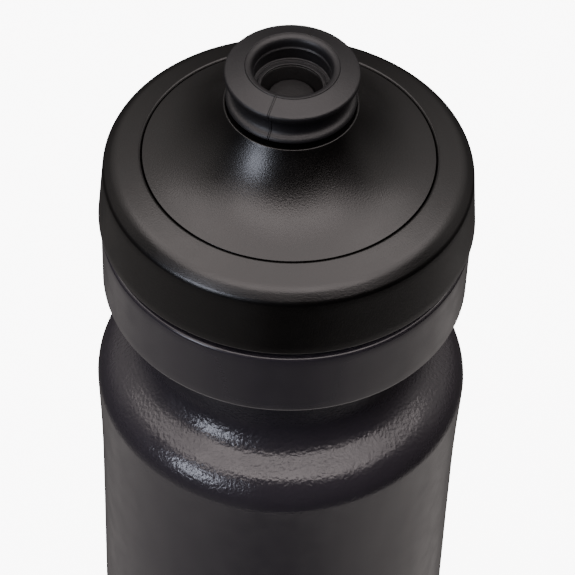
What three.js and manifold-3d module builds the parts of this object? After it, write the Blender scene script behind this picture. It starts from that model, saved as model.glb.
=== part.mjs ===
// Sports squeeze bottle: blow-moulded wide-mouth body, screw cap with a dished dome and a push-pull nozzle.
// Millimetres, +Z up, origin at the centre of the foot ring, front at -Y. Cap screwed on, nozzle pushed down.
import * as THREE from 'three';
import { mergeVertices } from 'three/addons/utils/BufferGeometryUtils.js';
import Module from 'manifold-3d';

const wasm = await Module();
wasm.setup();

// ---- driving dimensions ------------------------------------------------------------------------
const BODY_R = 36.5;            // standard cage size, 73 mm across
const SHOULDER_R = 37.0;        // widest ring, at the shoulder's edge
const WAIST_R = 26.9;           // grip waist between the collar band and the shoulder
const COLLAR_TOP = 173.9;       // upper face of the collar band under the cap
const WALL = 1.3;               // blow-moulded wall
const CAP_Z = 176;              // height of the cap's bottom rim; heights below are measured from it
const NECK_ROOT_R = 31.4;       // outside of the threaded neck
const MOUTH_R = 29.6;           // inside of the threaded neck
const LIP_H = 10.5;             // top of the neck above the cap's rim
const THREAD_PITCH = 4.4;       // right-hand thread, one start
const CAP_WALL_R = 33.7;        // inside of the cap's skirt
const DOME_RIM_R = 27.5;        // outer edge of the dished dome
const DOME_ARC_R = 25.1;        // radius of the trumpet curve
const BORE_LOW_R = 10.9;        // tower bore round the seal ring
const BORE_TOP_R = 10.5;        // tower bore above the stop ledge
const POST_R = 4.35;            // fixed centre post
const SEG_BIG = 48;             // facets round the body, cap and dome
const SEG_SMALL = 36;           // facets round the nozzle

// ---- helpers -----------------------------------------------------------------------------------
const up = (list) => list.map(([r, h]) => [r, h + CAP_Z]);

function arc(cr, cz, radius, from, to, steps) {
  const out = [];
  for (let i = 0; i <= steps; i += 1) {
    const a = THREE.MathUtils.degToRad(from + ((to - from) * i) / steps);
    out.push([cr + radius * Math.cos(a), cz + radius * Math.sin(a)]);
  }
  return out;
}

// Rounds the corners of a section: each corner is [radius, height, reach along each side, steps].
function soften(corners) {
  const out = [];
  corners.forEach(([r, z, reach, steps], i) => {
    if (!reach) {
      out.push([r, z]);
      return;
    }
    const here = new THREE.Vector2(r, z);
    const before = new THREE.Vector2(...corners[i - 1].slice(0, 2)).sub(here).normalize();
    const after = new THREE.Vector2(...corners[i + 1].slice(0, 2)).sub(here).normalize();
    const half = Math.acos(THREE.MathUtils.clamp(before.dot(after), -1, 1)) / 2;
    const centre = before.clone().add(after).normalize().multiplyScalar(reach / Math.cos(half)).add(here);
    const start = before.clone().multiplyScalar(reach).add(here).sub(centre);
    const side = Math.sign(before.cross(after));
    for (let k = 0; k <= steps; k += 1) {
      const spin = (side * (Math.PI - 2 * half) * k) / steps;
      const p = start.clone().rotateAround(new THREE.Vector2(0, 0), -spin).add(centre);
      out.push([p.x, p.y]);
    }
  });
  return out;
}

function toManifold(geometry) {
  const bare = geometry.clone();
  bare.deleteAttribute('normal');
  bare.deleteAttribute('uv');
  const merged = mergeVertices(bare, 1e-4);
  const index = Array.from(merged.index.array);
  const keep = [];
  for (let i = 0; i < index.length; i += 3) {
    const [a, b, c] = index.slice(i, i + 3);
    if (a !== b && b !== c && a !== c) keep.push(a, b, c);
  }
  const make = (tris) => new wasm.Manifold(new wasm.Mesh({
    numProp: 3,
    vertProperties: new Float32Array(merged.attributes.position.array),
    triVerts: new Uint32Array(tris),
  }));
  const solid = make(keep);
  if (solid.volume() > 0) return solid;
  const flipped = [];
  for (let i = 0; i < keep.length; i += 3) flipped.push(keep[i], keep[i + 2], keep[i + 1]);
  return make(flipped);
}

// A closed profile of [radius, height] points, turned about Z.
function turned(profile, segments) {
  const onAxis = profile[0][0] === 0 && profile[profile.length - 1][0] === 0;
  const loop = onAxis ? profile : [...profile, profile[0]];
  const points = loop.map(([r, z]) => new THREE.Vector2(r, z));
  const geometry = new THREE.LatheGeometry(points, segments);
  geometry.rotateX(Math.PI / 2);
  return toManifold(geometry);
}

// A helical ridge: four-sided section, its crest fading into the wall over the first and last steps.
function helix(rootR, crestR, baseWidth, crestWidth, startZ, turns, startAngle) {
  const steps = Math.round(turns * SEG_SMALL);
  const fade = 5;
  const verts = [];
  const tris = [];
  for (let i = 0; i <= steps; i += 1) {
    const ease = Math.min(1, (Math.min(i, steps - i) + 0.15) / fade);
    const angle = startAngle + (i * 2 * Math.PI) / SEG_SMALL;
    const z = startZ + (THREAD_PITCH * i) / SEG_SMALL;
    const crest = rootR + (crestR - rootR) * (0.35 + 0.65 * ease);
    const base = baseWidth * (0.4 + 0.6 * ease);
    const top = crestWidth * (0.4 + 0.6 * ease);
    const section = [[rootR, -base / 2], [crest, -top / 2], [crest, top / 2], [rootR, base / 2]];
    for (const [r, dz] of section) verts.push(r * Math.cos(angle), r * Math.sin(angle), z + dz);
  }
  for (let i = 0; i < steps; i += 1) {
    for (let k = 0; k < 4; k += 1) {
      const a = i * 4 + k;
      const b = i * 4 + ((k + 1) % 4);
      tris.push(a, b, b + 4, a, b + 4, a + 4);
    }
  }
  const e = steps * 4;
  tris.push(0, 2, 1, 0, 3, 2, e, e + 1, e + 2, e, e + 2, e + 3);
  const geometry = new THREE.BufferGeometry();
  geometry.setAttribute('position', new THREE.BufferAttribute(new Float32Array(verts), 3));
  geometry.setIndex(tris);
  return toManifold(geometry);
}

function box(x0, x1, y0, y1, z0, z1, turn = 0) {
  const geometry = new THREE.BoxGeometry(x1 - x0, y1 - y0, z1 - z0);
  geometry.translate((x0 + x1) / 2, (y0 + y1) / 2, (z0 + z1) / 2);
  geometry.rotateZ(turn);
  return toManifold(geometry);
}

const part = new THREE.Group();
part.name = 'sports_squeeze_bottle';

function place(name, solid, colour, roughness, metalness = 0) {
  const mesh = solid.getMesh();
  const geometry = new THREE.BufferGeometry();
  geometry.setAttribute('position', new THREE.BufferAttribute(new Float32Array(mesh.vertProperties), 3));
  geometry.setIndex(new THREE.BufferAttribute(new Uint32Array(mesh.triVerts), 1));
  geometry.computeVertexNormals();
  const material = new THREE.MeshStandardMaterial({ color: colour, roughness, metalness, flatShading: true });
  const node = new THREE.Mesh(geometry, material);
  node.name = name;
  part.add(node);
}

// ---- bottle body: foot, heel, wall, shoulder, waist, collar band and threaded neck in one moulding ----
const bodySection = soften([
  [0, 4.0],
  [19.5, 3.3],
  [26.2, 0.0, 0.9, 2],
  [BODY_R, 0.0, 5.3, 5],
  [BODY_R, 66.0],
  [36.36, 98.0],
  [36.42, 115.5],
  [SHOULDER_R, 130.4],
  [SHOULDER_R, 134.73, 4.33, 5],
  [WAIST_R, 140.57, 4.04, 5],
  [WAIST_R, 155.0, 4.0, 4],
  [35.42, 158.9, 0.7, 2],
  [35.47, COLLAR_TOP, 0.6, 2],
  [NECK_ROOT_R, COLLAR_TOP, 0.8, 2],
  [NECK_ROOT_R, CAP_Z + LIP_H, 0.5, 1],
  [MOUTH_R, CAP_Z + LIP_H, 0.5, 1],
  [MOUTH_R, 172.6, 1.2, 2],
  [33.9, 170.6, 1.6, 2],
  [33.9, 159.67, 1.2, 2],
  [WAIST_R - WALL, 155.86, 3.5, 3],
  [WAIST_R - WALL, 139.82, 4.8, 4],
  [SHOULDER_R - WALL, 133.98, 3.5, 4],
  [35.05, 98.0],
  [BODY_R - WALL, 66.0],
  [BODY_R - WALL, 1.4, 4.4, 4],
  [26.9, 1.4, 1.2, 2],
  [19.8, 4.6],
  [0, 5.3],
]);
let body = turned(bodySection, SEG_BIG);
body = body.add(helix(NECK_ROOT_R - 0.35, 32.9, 2.2, 1.0, CAP_Z + 1.3, 1.3, 0.4));
place('bottle_body', body, 0x262429, 0.34);

// ---- cap outer ring: skirt, chamfered rim, sloping top, ledge for the dome, plug seal and thread ----
let cap = turned(up([
  [CAP_WALL_R + 0.2, 0],
  [35.75, 0],
  [36.0, 0.25],
  [35.03, 12.2],
  [34.8, 12.75],
  [33.4, 14.3],
  [32.9, 14.65],
  [28.4, 16.18],
  [28.1, 16.12],
  [27.85, 15.8],
  [27.85, 13.4],
  [24.5, 13.4],
  [24.5, 11.9],
  [28.2, 11.9],
  [28.3, 8.2],
  [28.7, 7.8],
  [29.1, 8.4],
  [29.2, 11.9],
  [CAP_WALL_R - 0.4, 11.9],
  [CAP_WALL_R, 11.4],
]), SEG_BIG);
cap = cap.add(helix(CAP_WALL_R + 0.4, 32.2, 2.1, 0.9, CAP_Z + 1.3 + THREAD_PITCH / 2, 1.15, 0.4));
place('cap_shell', cap, 0x1d1a1b, 0.55);

// ---- sealing gasket between the cap's underside and the bottle's lip ----
place('cap_gasket', turned(up([
  [29.45, 10.75],
  [33.1, 10.75],
  [33.1, 11.65],
  [29.45, 11.65],
]), SEG_BIG), 0x8f9296, 0.6);

// ---- spout dome: trumpet curve, tower rim with a recess, guide tube with a stop ledge ----
const domeCr = DOME_RIM_R + DOME_ARC_R * Math.sin(THREE.MathUtils.degToRad(18));
const domeCz = 16.0 + DOME_ARC_R * Math.cos(THREE.MathUtils.degToRad(18));
const domeTop = arc(domeCr, domeCz, DOME_ARC_R, 252, 205, 12);
const domeUnder = arc(domeCr, domeCz, DOME_ARC_R + 1.8, 212.5, 250, 8);
place('spout_dome', turned(up([
  [DOME_RIM_R, 13.7],
  ...domeTop,
  [12.2, 29.3],
  [11.9, 28.8],
  [BORE_TOP_R, 28.7],
  [BORE_TOP_R, 24.6],
  [BORE_LOW_R, 24.6],
  [BORE_LOW_R, 14.2],
  [11.2, 13.8],
  [12.4, 13.8],
  ...domeUnder,
  [25.9, 13.7],
]), SEG_BIG), 0x1d1a1b, 0.5);

// ---- centre post on a three-spoke spider that clips round the guide tube ----
const ringProfile = up([
  [8.4, 12.0],
  [14.0, 12.0],
  [14.0, 17.0],
  [12.75, 17.0],
  [12.75, 13.3],
  [8.4, 13.3],
]);
const postProfile = up([
  [0, 28.4],
  [2.9, 28.4],
  [2.9, 12.0],
  [POST_R, 12.0],
  [POST_R, 30.6],
  [POST_R - 0.25, 30.85],
  [0, 30.85],
]);
let post = turned(ringProfile, SEG_SMALL).add(turned(postProfile, SEG_SMALL));
for (let i = 0; i < 3; i += 1) {
  const turn = Math.PI / 2 + (i * 2 * Math.PI) / 3;
  post = post.add(box(3.6, 8.9, -0.9, 0.9, CAP_Z + 12.0, CAP_Z + 13.3, turn));
}
place('valve_post', post, 0x1f1d20, 0.5);

// ---- rigid carrier tube: port seat, sealing groove and the beads that stop it at the ledge ----
place('nozzle_carrier', turned(up([
  [8.6, 14.9],
  [10.4, 14.9],
  [10.7, 15.3],
  [10.7, 16.1],
  [9.5, 16.1],
  [9.5, 17.7],
  [10.7, 17.7],
  [10.7, 18.2],
  [10.2, 18.5],
  [10.2, 30.2],
  [9.35, 30.2],
  [9.35, 36.0],
  [8.45, 36.0],
  [8.45, 33.0],
  [5.8, 33.0],
  [4.7, 30.4],
  [4.5, 30.1],
  [4.5, 29.6],
  [5.0, 29.2],
  [8.0, 28.2],
  [8.6, 27.4],
]), SEG_SMALL), 0x232023, 0.5);

// ---- seal ring in the carrier's groove ----
place('carrier_seal', turned(arc(10.2, CAP_Z + 16.9, 0.62, 0, 330, 11), SEG_SMALL), 0x101011, 0.6);

// ---- soft mouthpiece moulded over the carrier: flange, waist, brim, roll lip and ribbed bore ----
place('nozzle_tip', turned(up([
  [9.45, 30.5],
  [11.65, 30.5],
  [11.95, 30.75],
  [12.05, 31.1],
  [11.95, 31.45],
  [11.5, 31.75],
  [11.0, 32.2],
  [10.78, 32.9],
  [10.8, 33.7],
  [11.05, 34.5],
  [11.6, 35.2],
  [12.15, 35.8],
  [12.45, 36.25],
  [12.48, 36.8],
  [12.25, 37.15],
  [8.78, 38.4],
  [8.66, 38.32],
  [8.55, 38.52],
  [8.15, 38.5],
  [7.72, 38.25],
  [7.42, 37.8],
  [7.29, 37.2],
  [7.25, 36.3],
  [7.0, 36.0],
  [7.2, 35.7],
  [7.2, 33.7],
  [6.95, 33.48],
  [5.8, 33.42],
  [5.66, 33.1],
  [8.35, 33.1],
  [8.35, 36.1],
  [9.45, 36.1],
]), SEG_SMALL), 0x2c2a2d, 0.7);

export default part;
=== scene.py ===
# %% [markdown]
# # A sports squeeze bottle
# The bottle has a blown body, a screw cap with a dished dome, and a soft nozzle that is pulled up to drink.
# The engineering model comes from model.glb. It is loaded first and never moved, because it holds the sizes
# and the joints. Each piece is then built again with finer curves, and rides on the same moving body.

# %% Load the fixed frame
import bpy, bmesh, math
from mathutils import Matrix, Vector


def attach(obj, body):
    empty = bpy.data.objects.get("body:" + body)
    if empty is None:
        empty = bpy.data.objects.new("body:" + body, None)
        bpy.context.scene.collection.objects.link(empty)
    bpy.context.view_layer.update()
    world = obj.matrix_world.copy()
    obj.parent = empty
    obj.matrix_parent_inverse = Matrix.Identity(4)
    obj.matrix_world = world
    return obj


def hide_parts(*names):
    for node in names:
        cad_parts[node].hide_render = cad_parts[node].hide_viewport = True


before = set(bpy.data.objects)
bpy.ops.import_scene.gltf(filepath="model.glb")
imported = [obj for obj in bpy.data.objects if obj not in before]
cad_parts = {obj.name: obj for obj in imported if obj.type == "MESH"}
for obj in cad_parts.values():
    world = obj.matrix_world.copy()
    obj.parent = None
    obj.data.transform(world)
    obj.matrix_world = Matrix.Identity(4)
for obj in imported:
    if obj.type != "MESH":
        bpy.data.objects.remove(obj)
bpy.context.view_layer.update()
print("nodes:", sorted(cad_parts))

# %% [markdown]
# ## Turned profiles
# Nearly every piece of a bottle is round, so it is drawn as half a section and spun about the upright axis.
# A corner of the section is a radius, a height and how far its rounding reaches along each side. The
# bevel operator rounds the corner, which is what a mould maker does with a cutter of that radius.

# %% Driving dimensions, in millimetres
MM = 0.001                  # one millimetre in metres
BODY_RADIUS = 36.5          # the straight wall, which fits a standard bottle cage
SHOULDER_RADIUS = 37.0
WAIST_RADIUS = 26.9
BODY_WALL = 1.3
COLLAR_TOP = 173.9
NECK_RADIUS = 31.4
MOUTH_RADIUS = 29.6
LIP_TOP = 186.5
CAP_RIM = 176.0             # height of the cap's lower rim
PITCH = 4.4                 # climb of the thread in one turn
THREAD_START = 1.3          # where the thread begins, above the cap's lower rim
THREAD_ANGLE = 0.4          # where the thread begins round the axis, in radians
THREAD_FACETS = 96          # facets in one turn of a thread
DOME_RIM = 27.5
DOME_RIM_HEIGHT = 16.0      # above the cap's lower rim
DOME_RIM_SLOPE = 18         # the dome's slope at its rim, in degrees
DOME_WALL = 1.8
DOME_SWEEP = 25.1           # radius of the dome's hollow curve
TOWER_RADIUS = 12.5
POST_RADIUS = 4.35
print("the body is", 2 * BODY_RADIUS, "mm across and the cap's rim is", CAP_RIM, "mm up")


# %% A helper that draws a section
def draw_section(corners, lift=0.0, close=True, roundness=6):
    section = bmesh.new()
    verts = [section.verts.new((r * MM, 0, (z + lift) * MM)) for r, z, _ in corners]
    for a, b in zip(verts, verts[1:]):
        section.edges.new((a, b))
    if close:
        section.edges.new((verts[-1], verts[0]))
    for vert, (_, _, reach) in zip(verts, corners):
        if reach:
            bmesh.ops.bevel(section, geom=[vert], offset=reach * MM, offset_type="OFFSET", affect="VERTICES",
                            segments=roundness, profile=0.5, material=-1)
    return section


# %% [markdown]
# Long straight sides are cut into shorter ones, so that smooth shading stays flat in their middle and
# bends only at the rounded corners.

# %% A helper that shortens long sides
def shorten_sides(section, longest=3.0):
    for _ in range(7):
        long_edges = [e for e in section.edges if e.calc_length() > longest * MM]
        if not long_edges:
            break
        bmesh.ops.subdivide_edges(section, edges=long_edges, cuts=1)


# %% Helpers that spin a section and finish a piece
def spin_section(section, facets):
    bmesh.ops.spin(section, geom=section.verts[:] + section.edges[:], cent=(0, 0, 0), axis=(0, 0, 1),
                   angle=math.tau, steps=facets, use_merge=True)
    bmesh.ops.remove_doubles(section, verts=section.verts, dist=1e-6)
    bmesh.ops.recalc_face_normals(section, faces=section.faces)


def finish_piece(name, shape):
    mesh = bpy.data.meshes.new(name)
    for face in shape.faces:
        face.smooth = True
    shape.to_mesh(mesh)
    shape.free()
    piece = bpy.data.objects.new(name, mesh)
    bpy.context.scene.collection.objects.link(piece)
    print(name, "has", len(mesh.polygons), "faces")
    return piece


def spin_piece(name, section, facets):
    spin_section(section, facets)
    return finish_piece(name, section)


def add_shape(shape, extra):
    loose_mesh = bpy.data.meshes.new("extra")
    extra.to_mesh(loose_mesh)
    extra.free()
    shape.from_mesh(loose_mesh)
    bpy.data.meshes.remove(loose_mesh)


# %% [markdown]
# Two pieces of the bottle have a screw thread. A thread is the same spin with a climb added to each turn,
# so a small four-sided section becomes a ridge that winds up the wall.

# %% A helper that winds a thread
def wind_thread(shape, wall, crest, foot_width, crest_width, start, turns, start_angle):
    foot, tip_half = foot_width / 2, crest_width / 2
    rows = [(wall, -foot), (crest, -tip_half), (crest, tip_half), (wall, foot)]
    ridge = bmesh.new()
    verts = [ridge.verts.new((r * MM, 0, (start + dz) * MM)) for r, dz in rows]
    first = ridge.faces.new(verts)
    steps = int(THREAD_FACETS * turns)
    bmesh.ops.spin(ridge, geom=[first], cent=(0, 0, 0), axis=(0, 0, 1), angle=math.tau * turns,
                   dvec=(0, 0, PITCH * MM * turns / steps), steps=steps, use_duplicate=False)
    bmesh.ops.rotate(ridge, verts=ridge.verts, cent=(0, 0, 0), matrix=Matrix.Rotation(start_angle, 3, "Z"))
    bmesh.ops.recalc_face_normals(ridge, faces=ridge.faces)
    add_shape(shape, ridge)


# %% [markdown]
# ## The body
# The body is one blown moulding. It has a foot ring round a pushed-up base, a heel, a straight wall, a
# shoulder that slopes in to a narrow grip waist, and a collar band as wide as the cap. The threaded neck
# is above the band. Inside, the wall follows the outside at a little over a millimetre.

# %% Draw and spin the body
body_corners = [
    (0, 4.0, 0),
    (20.0, 3.3, 6.0),
    (26.2, 0.0, 0.9),
    (BODY_RADIUS, 0.0, 5.3),
    (BODY_RADIUS, 40.0, 0),
    (BODY_RADIUS, 66.0, 12.0),
    (36.36, 98.0, 8.0),
    (36.42, 115.5, 8.0),
    (36.98, 130.0, 0.3),
    (SHOULDER_RADIUS, 134.73, 4.33),
    (WAIST_RADIUS, 140.57, 4.04),
    (WAIST_RADIUS, 155.0, 4.0),
    (35.42, 158.9, 0.7),
    (35.47, COLLAR_TOP, 0.75),
    (NECK_RADIUS, COLLAR_TOP, 0.9),
    (NECK_RADIUS, LIP_TOP, 0.5),
    (MOUTH_RADIUS, LIP_TOP, 0.5),
    (MOUTH_RADIUS, COLLAR_TOP - BODY_WALL, 1.2),
    (33.9, 170.6, 1.6),
    (33.9, 159.67, 1.2),
    (WAIST_RADIUS - BODY_WALL, 155.86, 3.5),
    (WAIST_RADIUS - BODY_WALL, 139.82, 4.8),
    (SHOULDER_RADIUS - BODY_WALL, 133.98, 3.5),
    (35.05, 98.0, 10.0),
    (BODY_RADIUS - BODY_WALL, 66.0, 12.0),
    (BODY_RADIUS - BODY_WALL, 1.4, 4.4),
    (26.9, 1.4, 1.2),
    (20.3, 4.6, 4.0),
    (0, 5.3, 0),
]
body_section = draw_section(body_corners, close=False)
shorten_sides(body_section)
spin_section(body_section, 180)
wind_thread(body_section, wall=31.0, crest=32.9, foot_width=2.2, crest_width=1.0,
            start=CAP_RIM + THREAD_START, turns=1.3, start_angle=THREAD_ANGLE)
body = finish_piece("squeeze_body", body_section)
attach(body, "bottle")
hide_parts("bottle_body")

# %% [markdown]
# ## The cap's outer ring
# The ring is gripped to unscrew the cap. Its wall leans in slightly, so that it leaves the mould, and a
# chamfer of about 45 degrees with rounded edges leads to a top that rises to the circular joint with the
# dome. The ring stands a little proud of the dome there. Inside are the seal lip, the shelf that holds the
# dome, and the thread, half a pitch above the bottle's so that the two ridges interleave.

# %% Draw and spin the cap ring
cap_corners = [
    (33.8, 0.0, 0.15),
    (36.0, 0.0, 0.3),
    (34.97, 12.55, 0.6),
    (32.9, 14.62, 1.0),
    (28.05, 16.22, 0.22),
    (27.72, 15.85, 0.06),
    (27.72, 13.4, 0.2),
    (24.5, 13.4, 0.3),
    (24.5, 11.9, 0.2),
    (28.2, 11.9, 0.2),
    (28.3, 7.8, 0.3),
    (29.2, 8.0, 0.3),
    (29.2, 11.9, 0.2),
    (33.7, 11.9, 0.5),
]
cap_section = draw_section(cap_corners, lift=CAP_RIM)
shorten_sides(cap_section, 1.5)
spin_section(cap_section, 192)
wind_thread(cap_section, wall=34.1, crest=32.2, foot_width=2.1, crest_width=0.9,
            start=CAP_RIM + THREAD_START + PITCH / 2, turns=1.15, start_angle=THREAD_ANGLE)
cap_ring = finish_piece("cap_ring", cap_section)
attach(cap_ring, "cap")
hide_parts("cap_shell")

# %% [markdown]
# The gasket is a flat ring of soft rubber that the cap presses onto the bottle's lip. It could be cut
# from a disc, but four rounded corners spun once give the same ring.

# %% The sealing gasket on the bottle's lip
gasket_corners = [
    (29.45, 10.75, 0.2),
    (33.1, 10.75, 0.2),
    (33.1, 11.65, 0.2),
    (29.45, 11.65, 0.2),
]
gasket_section = draw_section(gasket_corners, lift=CAP_RIM, roundness=3)
gasket = spin_piece("lip_gasket", gasket_section, 128)
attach(gasket, "gasket")
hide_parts("cap_gasket")

# %% [markdown]
# ## The dished dome
# The middle of the cap sweeps up in one hollow curve, like the bell of a trumpet, to a short tower. The
# curve is one arc, so its points are worked out from the arc's centre and radius, which keeps the
# reflections free of kinks. The tower's rim, its guide tube and the stop ledge are straight sides.

# %% Work out the curve of the dome
dome_centre = (DOME_RIM + DOME_SWEEP * math.sin(math.radians(DOME_RIM_SLOPE)),
               CAP_RIM + DOME_RIM_HEIGHT + DOME_SWEEP * math.cos(math.radians(DOME_RIM_SLOPE)))


def dome_point(slope, outset=0.0):
    reach = DOME_SWEEP + outset
    return (dome_centre[0] - reach * math.sin(math.radians(slope)),
            dome_centre[1] - reach * math.cos(math.radians(slope)))


print("the dome's curve is centred at", [round(v, 2) for v in dome_centre], "mm")

# %% Draw and spin the dome
outer_curve = [(*dome_point(s), 0) for s in range(20, 65, 2)]
under_curve = [(*dome_point(s, DOME_WALL), 0) for s in range(57, 21, -3)]
dome_corners = [
    (DOME_RIM, CAP_RIM + 13.75, 0.2),
    (*dome_point(DOME_RIM_SLOPE), 0.08),
    *outer_curve,
    (TOWER_RADIUS, CAP_RIM + 29.28, 0.1),
    (12.15, CAP_RIM + 29.3, 0.1),
    (11.85, CAP_RIM + 28.7, 0.1),
    (10.5, CAP_RIM + 28.7, 0.15),
    (10.5, CAP_RIM + 24.6, 0.1),
    (10.9, CAP_RIM + 24.6, 0.1),
    (10.9, CAP_RIM + 13.8, 0.3),
    (12.4, CAP_RIM + 13.8, 0.3),
    *under_curve,
    (25.9, CAP_RIM + 13.75, 0.2),
]
dome_section = draw_section(dome_corners)
shorten_sides(dome_section, 1.5)
dome = spin_piece("spout_dome_skin", dome_section, 192)
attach(dome, "cap")
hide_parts("spout_dome")

# %% [markdown]
# ## The valve inside the tower
# A fixed post stands in the middle of the tower on three spokes. When the nozzle is down, its port
# closes round the head of the post. When it is pulled up, drink passes between the spokes and out.

# %% Draw and spin the post and its ring
post_corners = [
    (0, 28.4, 0),
    (2.9, 28.4, 0.3),
    (2.9, 12.0, 0.2),
    (POST_RADIUS, 12.0, 0.2),
    (POST_RADIUS, 30.85, 0.22),
    (0, 30.85, 0),
]
ring_corners = [
    (8.4, 12.0, 0.2),
    (14.0, 12.0, 0.3),
    (14.0, 17.0, 0.3),
    (12.75, 17.0, 0.2),
    (12.75, 13.3, 0.2),
    (8.4, 13.3, 0.2),
]
valve = bmesh.new()
for corners, closed in ((post_corners, False), (ring_corners, True)):
    part_section = draw_section(corners, lift=CAP_RIM, close=closed, roundness=4)
    shorten_sides(part_section, 2.5)
    spin_section(part_section, 96)
    add_shape(valve, part_section)

# %% Add the spokes
SPOKES = 3
SPOKE_SIZE = (5.3, 1.8, 1.3)        # length, width and depth in millimetres
SPOKE_MIDDLE = (6.25, 12.65)        # distance from the axis, and height above the cap's lower rim
for number in range(SPOKES):
    spoke = bmesh.ops.create_cube(valve, size=1.0)["verts"]
    bmesh.ops.scale(valve, verts=spoke, vec=[side * MM for side in SPOKE_SIZE])
    bmesh.ops.translate(valve, verts=spoke, vec=(SPOKE_MIDDLE[0] * MM, 0, (CAP_RIM + SPOKE_MIDDLE[1]) * MM))
    bmesh.ops.rotate(valve, verts=spoke, cent=(0, 0, 0),
                     matrix=Matrix.Rotation(math.pi / 2 + number * math.tau / SPOKES, 3, "Z"))
valve_piece = finish_piece("post_and_spider", valve)
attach(valve_piece, "cap")
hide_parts("valve_post")

# %% [markdown]
# ## The nozzle's hard core
# A soft nozzle alone would bend in the tower, so it is moulded over a rigid tube that slides in the
# tower's bore. The tube's foot meets the stop ledge when the nozzle is pulled up, and a funnel at the
# top ends in the port that closes round the post. It is hardly seen, but it moves with the nozzle.

# %% Draw and spin the rigid carrier inside the nozzle
carrier_corners = [
    (8.6, 14.9, 0.2),
    (10.7, 14.9, 0.5),
    (10.7, 16.1, 0.1),
    (9.5, 16.1, 0.1),
    (9.5, 17.7, 0.1),
    (10.7, 17.7, 0.1),
    (10.7, 18.2, 0.1),
    (10.2, 18.5, 0.1),
    (10.2, 30.2, 0.2),
    (9.35, 30.2, 0.1),
    (9.35, 36.0, 0.2),
    (8.45, 36.0, 0.2),
    (8.45, 33.0, 0.1),
    (5.75, 33.0, 0.25),
    (4.5, 30.1, 0.3),
    (4.5, 29.6, 0.2),
    (8.0, 28.2, 0.5),
    (8.6, 27.4, 0.3),
]
carrier_section = draw_section(carrier_corners, lift=CAP_RIM, roundness=4)
shorten_sides(carrier_section, 1.5)
carrier = spin_piece("nozzle_core", carrier_section, 128)
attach(carrier, "nozzle")
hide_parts("nozzle_carrier")

# %% [markdown]
# The seal is a rubber ring that sits in a groove near the carrier's foot. Its section is a circle, so a
# circle is spun instead of a list of corners.

# %% The seal ring round the carrier
SEAL_SECTION_RADIUS = 0.62
SEAL_RING_RADIUS = 10.2
SEAL_HEIGHT = 16.9                  # above the cap's lower rim
seal_shape = bmesh.new()
bmesh.ops.create_circle(seal_shape, cap_ends=False, radius=SEAL_SECTION_RADIUS * MM, segments=24,
                        matrix=Matrix.Translation((SEAL_RING_RADIUS * MM, 0, (CAP_RIM + SEAL_HEIGHT) * MM))
                        @ Matrix.Rotation(math.pi / 2, 4, "X"))
seal = spin_piece("seal_ring", seal_shape, 96)
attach(seal, "nozzle")
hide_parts("carrier_seal")

# %% [markdown]
# ## The soft mouthpiece
# The part that touches the lips is soft rubbery plastic moulded over the carrier. From below, it has a
# flange, a narrow waist for the teeth, a wide brim, and a roll lip round the bore. Inside the bore are a
# low rib and a ledge with a groove in it, just above the head of the post.

# %% Draw and spin the mouthpiece
tip_corners = [
    (9.45, 30.5, 0.15),
    (12.12, 30.5, 0.15),
    (12.05, 31.2, 0.5),
    (11.0, 31.75, 0.5),
    (10.62, 33.3, 0.8),
    (11.1, 34.7, 0.7),
    (12.55, 36.05, 0.55),
    (12.47, 37.12, 0.4),
    (8.76, 38.42, 0.06),
    (8.66, 38.3, 0.05),
    (8.6, 38.5, 0.08),
    (7.3, 38.56, 1.22),
    (7.26, 36.35, 0.12),
    (6.98, 36.0, 0.1),
    (7.2, 35.7, 0.12),
    (7.2, 33.5, 0.2),
    (6.6, 33.46, 0.06),
    (6.52, 33.26, 0.05),
    (6.4, 33.26, 0.05),
    (6.32, 33.44, 0.06),
    (5.66, 33.42, 0.12),
    (5.66, 33.1, 0.05),
    (8.35, 33.1, 0.1),
    (8.35, 36.1, 0.1),
    (9.45, 36.1, 0.1),
]
tip_section = draw_section(tip_corners, lift=CAP_RIM)
shorten_sides(tip_section, 0.6)
tip = spin_piece("soft_mouthpiece", tip_section, 192)
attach(tip, "nozzle")
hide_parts("nozzle_tip")

# %% [markdown]
# ## Finishes
# Each finish is a small network of nodes. A Principled shader gives the gloss. Noise patterns, read in
# object coordinates so that they stay on the piece, vary the roughness and press a fine relief.

# %% Helpers for building finishes
def new_finish(name, colour, roughness, specular):
    finish = bpy.data.materials.new(name)
    finish.use_nodes = True
    nodes, links = finish.node_tree.nodes, finish.node_tree.links
    shader = nodes["Principled BSDF"]
    shader.inputs["Base Color"].default_value = (*colour, 1)
    shader.inputs["Roughness"].default_value = roughness
    shader.inputs["Specular IOR Level"].default_value = specular
    where = nodes.new("ShaderNodeTexCoord").outputs["Object"]
    print("mixed the finish", name)
    return finish, nodes, links, shader, where


def add_noise(nodes, links, where, scale, detail, stretch=(1, 1, 1)):
    mapping = nodes.new("ShaderNodeMapping")
    mapping.inputs["Scale"].default_value = stretch
    links.new(where, mapping.inputs["Vector"])
    noise = nodes.new("ShaderNodeTexNoise")
    noise.inputs["Scale"].default_value = scale
    noise.inputs["Detail"].default_value = detail
    links.new(mapping.outputs["Vector"], noise.inputs["Vector"])
    return noise.outputs["Fac"]


def remap(nodes, links, value, low, high, new_low, new_high):
    node = nodes.new("ShaderNodeMapRange")
    node.interpolation_type = "SMOOTHSTEP"
    limits = {"From Min": low, "From Max": high, "To Min": new_low, "To Max": new_high}
    for slot_name, number in limits.items():
        node.inputs[slot_name].default_value = number
    links.new(value, node.inputs["Value"])
    return node.outputs["Result"]


def combine(nodes, links, operation, *values):
    node = nodes.new("ShaderNodeMath")
    node.operation = operation
    for socket, value in zip(node.inputs, values):
        if isinstance(value, (int, float)):
            socket.default_value = value
        else:
            links.new(value, socket)
    return node.outputs["Value"]


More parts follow.
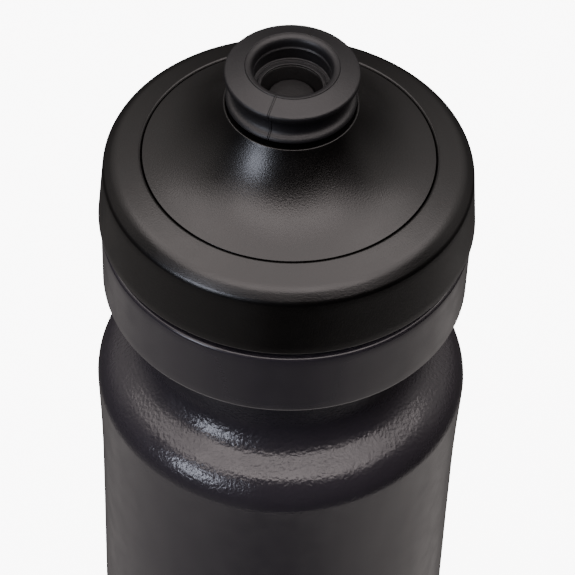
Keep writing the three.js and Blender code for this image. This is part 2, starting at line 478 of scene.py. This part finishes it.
def press_relief(nodes, links, shader, height, depth, under=None):
    bump = nodes.new("ShaderNodeBump")
    bump.inputs["Distance"].default_value = depth
    bump.inputs["Strength"].default_value = 1.0
    links.new(height, bump.inputs["Height"])
    if under is not None:
        links.new(under, bump.inputs["Normal"])
    links.new(bump.outputs["Normal"], shader.inputs["Normal"])
    return bump.outputs["Normal"]


# %% [markdown]
# The body is the glossiest plastic. It has an orange-peel relief on its shoulder and waist, faded in by
# height, and almost none elsewhere. A slow ripple under it bends the long reflections a little, as the
# uneven wall of a blown bottle does. Both are bump, because they are too shallow to change the outline.

# %% Body finish: satin black with an orange-peel shoulder
body_finish, nodes, links, shader, where = new_finish("body_satin_black", (0.0225, 0.0202, 0.0248), 0.25, 0.5)
height_of = nodes.new("ShaderNodeSeparateXYZ")
links.new(where, height_of.inputs["Vector"])
above = remap(nodes, links, height_of.outputs["Z"], 126 * MM, 134 * MM, 0.0, 1.0)
below = remap(nodes, links, height_of.outputs["Z"], 150 * MM, 158 * MM, 1.0, 0.0)
on_shoulder = combine(nodes, links, "MULTIPLY", above, below)
peel = add_noise(nodes, links, where, 1500, 2.0)
ripple = add_noise(nodes, links, where, 60, 2.0, (1, 1, 0.25))
peel_mask = combine(nodes, links, "MULTIPLY_ADD", on_shoulder, 0.85, 0.03)
peel_height = combine(nodes, links, "MULTIPLY", peel, peel_mask)
rough = remap(nodes, links, add_noise(nodes, links, where, 220, 4.0), 0.3, 0.7, 0.2, 0.27)
links.new(rough, shader.inputs["Roughness"])
wavy = press_relief(nodes, links, shader, ripple, 0.6 * MM)
press_relief(nodes, links, shader, peel_height, 0.13 * MM, under=wavy)
body.data.materials.append(body_finish)

# %% [markdown]
# The cap is moulded in a duller, slightly warmer black with a very fine grain. The outer ring and the
# dome come from the same plastic, so they share one finish.

# %% Cap finish: warm satin black
cap_finish, nodes, links, shader, where = new_finish("cap_satin_black", (0.0008, 0.0006, 0.0006), 0.31, 0.5)
grain = add_noise(nodes, links, where, 3500, 2.0)
rough = remap(nodes, links, add_noise(nodes, links, where, 150, 5.0), 0.3, 0.7, 0.29, 0.34)
links.new(rough, shader.inputs["Roughness"])
press_relief(nodes, links, shader, grain, 0.03 * MM)
for piece in (cap_ring, dome):
    piece.data.materials.append(cap_finish)

# %% [markdown]
# The mouthpiece is soft and nearly matt. It has a thin raised seam where the halves of its mould met. The
# seam is a band about a plane through the axis, turned to stand at the front left. It crosses the brim, the
# waist and the flange, and stops at the roll lip.

# %% Nozzle finish: soft matte rubber with a mould seam
SEAM_TURN = 19                      # degrees from the front
tip_finish, nodes, links, shader, where = new_finish("nozzle_soft_black", (0.0024, 0.0022, 0.0032), 0.5, 0.5)
grain = add_noise(nodes, links, where, 2600, 3.0)
turned = nodes.new("ShaderNodeMapping")
turned.inputs["Rotation"].default_value = (0, 0, math.radians(SEAM_TURN))
links.new(where, turned.inputs["Vector"])
across_seam = nodes.new("ShaderNodeSeparateXYZ")
links.new(turned.outputs["Vector"], across_seam.inputs["Vector"])
from_seam = combine(nodes, links, "ABSOLUTE", across_seam.outputs["X"], 0.0)
seam = remap(nodes, links, from_seam, 0.06 * MM, 0.26 * MM, 1.0, 0.0)
across = combine(nodes, links, "MULTIPLY", across_seam.outputs["X"], across_seam.outputs["X"])
along = combine(nodes, links, "MULTIPLY", across_seam.outputs["Y"], across_seam.outputs["Y"])
radius_squared = combine(nodes, links, "ADD", across, along)
out_of_bore = remap(nodes, links, radius_squared, (8.4 * MM) ** 2, (8.7 * MM) ** 2, 0.0, 1.0)
seam = combine(nodes, links, "MULTIPLY", seam, out_of_bore)
soft = press_relief(nodes, links, shader, grain, 0.04 * MM)
press_relief(nodes, links, shader, seam, 0.16 * MM, under=soft)
tip.data.materials.append(tip_finish)

# %% [markdown]
# The inner pieces are only glimpsed down the bore or when the cap is off, so each has a plain colour
# with a fine grain. The gasket is pale grey, as food-safe rubber often is.

# %% Finishes of the inner pieces
for piece, name, colour, roughness in (
    (valve_piece, "post_satin_black", (0.004, 0.0036, 0.004), 0.45),
    (carrier, "carrier_satin_black", (0.002, 0.0018, 0.002), 0.45),
    (seal, "seal_black", (0.003, 0.003, 0.003), 0.5),
    (gasket, "gasket_grey", (0.3, 0.31, 0.32), 0.6),
):
    finish, nodes, links, shader, where = new_finish(name, colour, roughness, 0.45)
    press_relief(nodes, links, shader, add_noise(nodes, links, where, 2500, 3.0), 0.03 * MM)
    piece.data.materials.append(finish)

# %% [markdown]
# ## The studio
# The bottle stands on a plain pale floor. Black plastic shows almost nothing but reflections, so what
# stands round it is what draws it. A wide soft box hangs overhead, a narrower strip hangs in front of it,
# and a window of cool light stands low to the left. The floor is bright to the camera, but it neither lights
# the bottle nor shows in its reflections, as if black cards hid it.

# %% Pale floor
floor_shape = bmesh.new()
bmesh.ops.create_grid(floor_shape, x_segments=1, y_segments=1, size=4.0)
bmesh.ops.translate(floor_shape, vec=(0, 0, -0.2 * MM), verts=floor_shape.verts)
floor = finish_piece("studio_floor", floor_shape)
floor_finish, nodes, links, shader, where = new_finish("pale_floor", (0.88, 0.88, 0.88), 0.9, 0.1)
shader.inputs["Emission Color"].default_value = (1, 1, 1, 1)
shader.inputs["Emission Strength"].default_value = 8.0
floor.data.materials.append(floor_finish)
floor.visible_glossy = False
floor.visible_diffuse = False

# %% [markdown]
# The sky gives the soft glows that the side walls and the back of the cap reflect. Each glow fades in and
# out with the direction looked along. To the camera itself the sky is plain and bright.

# %% Sky with soft glows
sky = bpy.data.worlds.new("studio_sky")
sky.use_nodes = True
nodes, links = sky.node_tree.nodes, sky.node_tree.links
looking = nodes.new("ShaderNodeSeparateXYZ")
links.new(nodes.new("ShaderNodeTexCoord").outputs["Generated"], looking.inputs["Vector"])
to_side = combine(nodes, links, "ABSOLUTE", looking.outputs["X"], 0.0)


def fade(axis, low, high, new_low, new_high):
    return remap(nodes, links, looking.outputs[axis], low, high, new_low, new_high)


def times(first, second):
    return combine(nodes, links, "MULTIPLY", first, second)


def plus(first, second):
    return combine(nodes, links, "ADD", first, second)


# %% Pale cards low at the sides, weaker behind and at the left
cards = times(fade("Z", -0.63, -0.76, 0.0, 1.0), remap(nodes, links, to_side, 0.1, 0.66, 0.13, 0.64))
cards = times(cards, fade("Y", 0.42, 0.65, 1.0, 0.5))
cards = times(cards, fade("X", -0.2, -0.5, 1.0, 0.72))

# %% A faint glow at the lower left, and one from underneath
left_low = times(fade("X", 0.0, -0.4, 0.0, 0.2), fade("Y", -0.2, 0.3, 1.0, 0.0))
left_low = times(left_low, fade("Z", -0.4, -0.55, 0.0, 1.0))
left_low = times(left_low, fade("Z", -0.64, -0.74, 1.0, 0.0))
underneath = fade("Z", -0.84, -0.95, 0.0, 0.9)

# %% A glow that rises behind the bottle and at its sides
rising = combine(nodes, links, "MAXIMUM", looking.outputs["Z"], 0.0)
rising = combine(nodes, links, "MULTIPLY_ADD", rising, 1.3, 0.2)
rising = times(rising, times(fade("Y", -0.3, 0.25, 0.02, 1.0), fade("Z", -0.3, 0.05, 0.25, 1.0)))
rising = times(rising, remap(nodes, links, to_side, 0.1, 0.55, 0.33, 1.05))

# %% Join the glows
glow = plus(plus(cards, underneath), plus(rising, left_low))
seen = nodes.new("ShaderNodeLightPath").outputs["Is Camera Ray"]
glow = combine(nodes, links, "MAXIMUM", glow, times(seen, 1.2))
links.new(glow, nodes["Background"].inputs["Strength"])
nodes["Background"].inputs["Color"].default_value = (1.0, 0.93, 0.9, 1)
bpy.context.scene.world = sky
print("the sky has", len(nodes), "nodes")

# %% Soft boxes
WARM_WHITE = (1.0, 0.905, 0.89)
COOL_WHITE = (0.82, 0.86, 1.0)


def hang_box(name, place, aim, size, watts, colour):
    lamp = bpy.data.lights.new(name, "AREA")
    lamp.shape = "RECTANGLE"
    lamp.size, lamp.size_y = size
    lamp.energy = watts
    lamp.color = colour
    box = bpy.data.objects.new(name, lamp)
    bpy.context.scene.collection.objects.link(box)
    box.location = place
    box.rotation_mode = "QUATERNION"
    box.rotation_quaternion = (Vector(aim) - Vector(place)).to_track_quat("-Z", "Y")
    box.visible_camera = False
    print(name, "gives", watts, "W")


hang_box("overhead_box", (0, -0.17, 1.25), (0, -0.17, 0.2), (2.4, 1.44), 30, WARM_WHITE)
hang_box("front_strip", (0, -0.63, 1.24), (0, -0.63, 0.2), (1.7, 0.52), 6.2, WARM_WHITE)
hang_box("left_window", (-0.98, -1.02, 0.57), (0, 0, 0.17), (0.5, 0.54), 11, COOL_WHITE)

# %% [markdown]
# ## The camera
# The camera looks down on the cap from in front, about 48 degrees below level, through a long lens. Its
# turn is written as three angles: how far it looks down, a very small yaw, and a small roll. It could be
# aimed at a target instead, but an aimed camera can't be given a roll so plainly.

# %% Place the camera
CAMERA_IN_FRONT = 383.98    # millimetres from the bottle's axis
CAMERA_ABOVE_RIM = 404.79   # millimetres above the cap's lower rim
look_down, yaw, roll = math.radians(47.995), math.radians(0.103), math.radians(2.313)
lens = bpy.data.cameras.new("long_lens")
lens.lens, lens.sensor_width = 183.0, 36.0
camera = bpy.data.objects.new("camera", lens)
bpy.context.scene.collection.objects.link(camera)
forward = Vector((math.sin(yaw) * math.cos(look_down),
                  math.cos(yaw) * math.cos(look_down),
                  -math.sin(look_down)))
level = Vector((math.cos(yaw), -math.sin(yaw), 0))
overhead = level.cross(forward)
across = level * math.cos(roll) + overhead * math.sin(roll)
upright = overhead * math.cos(roll) - level * math.sin(roll)
camera.matrix_world = Matrix((across, upright, -forward)).transposed().to_4x4()
camera.location = (0, -CAMERA_IN_FRONT * MM, (CAP_RIM + CAMERA_ABOVE_RIM) * MM)
bpy.context.scene.camera = camera
print("the camera is", round(camera.location.length, 3), "m from the origin")
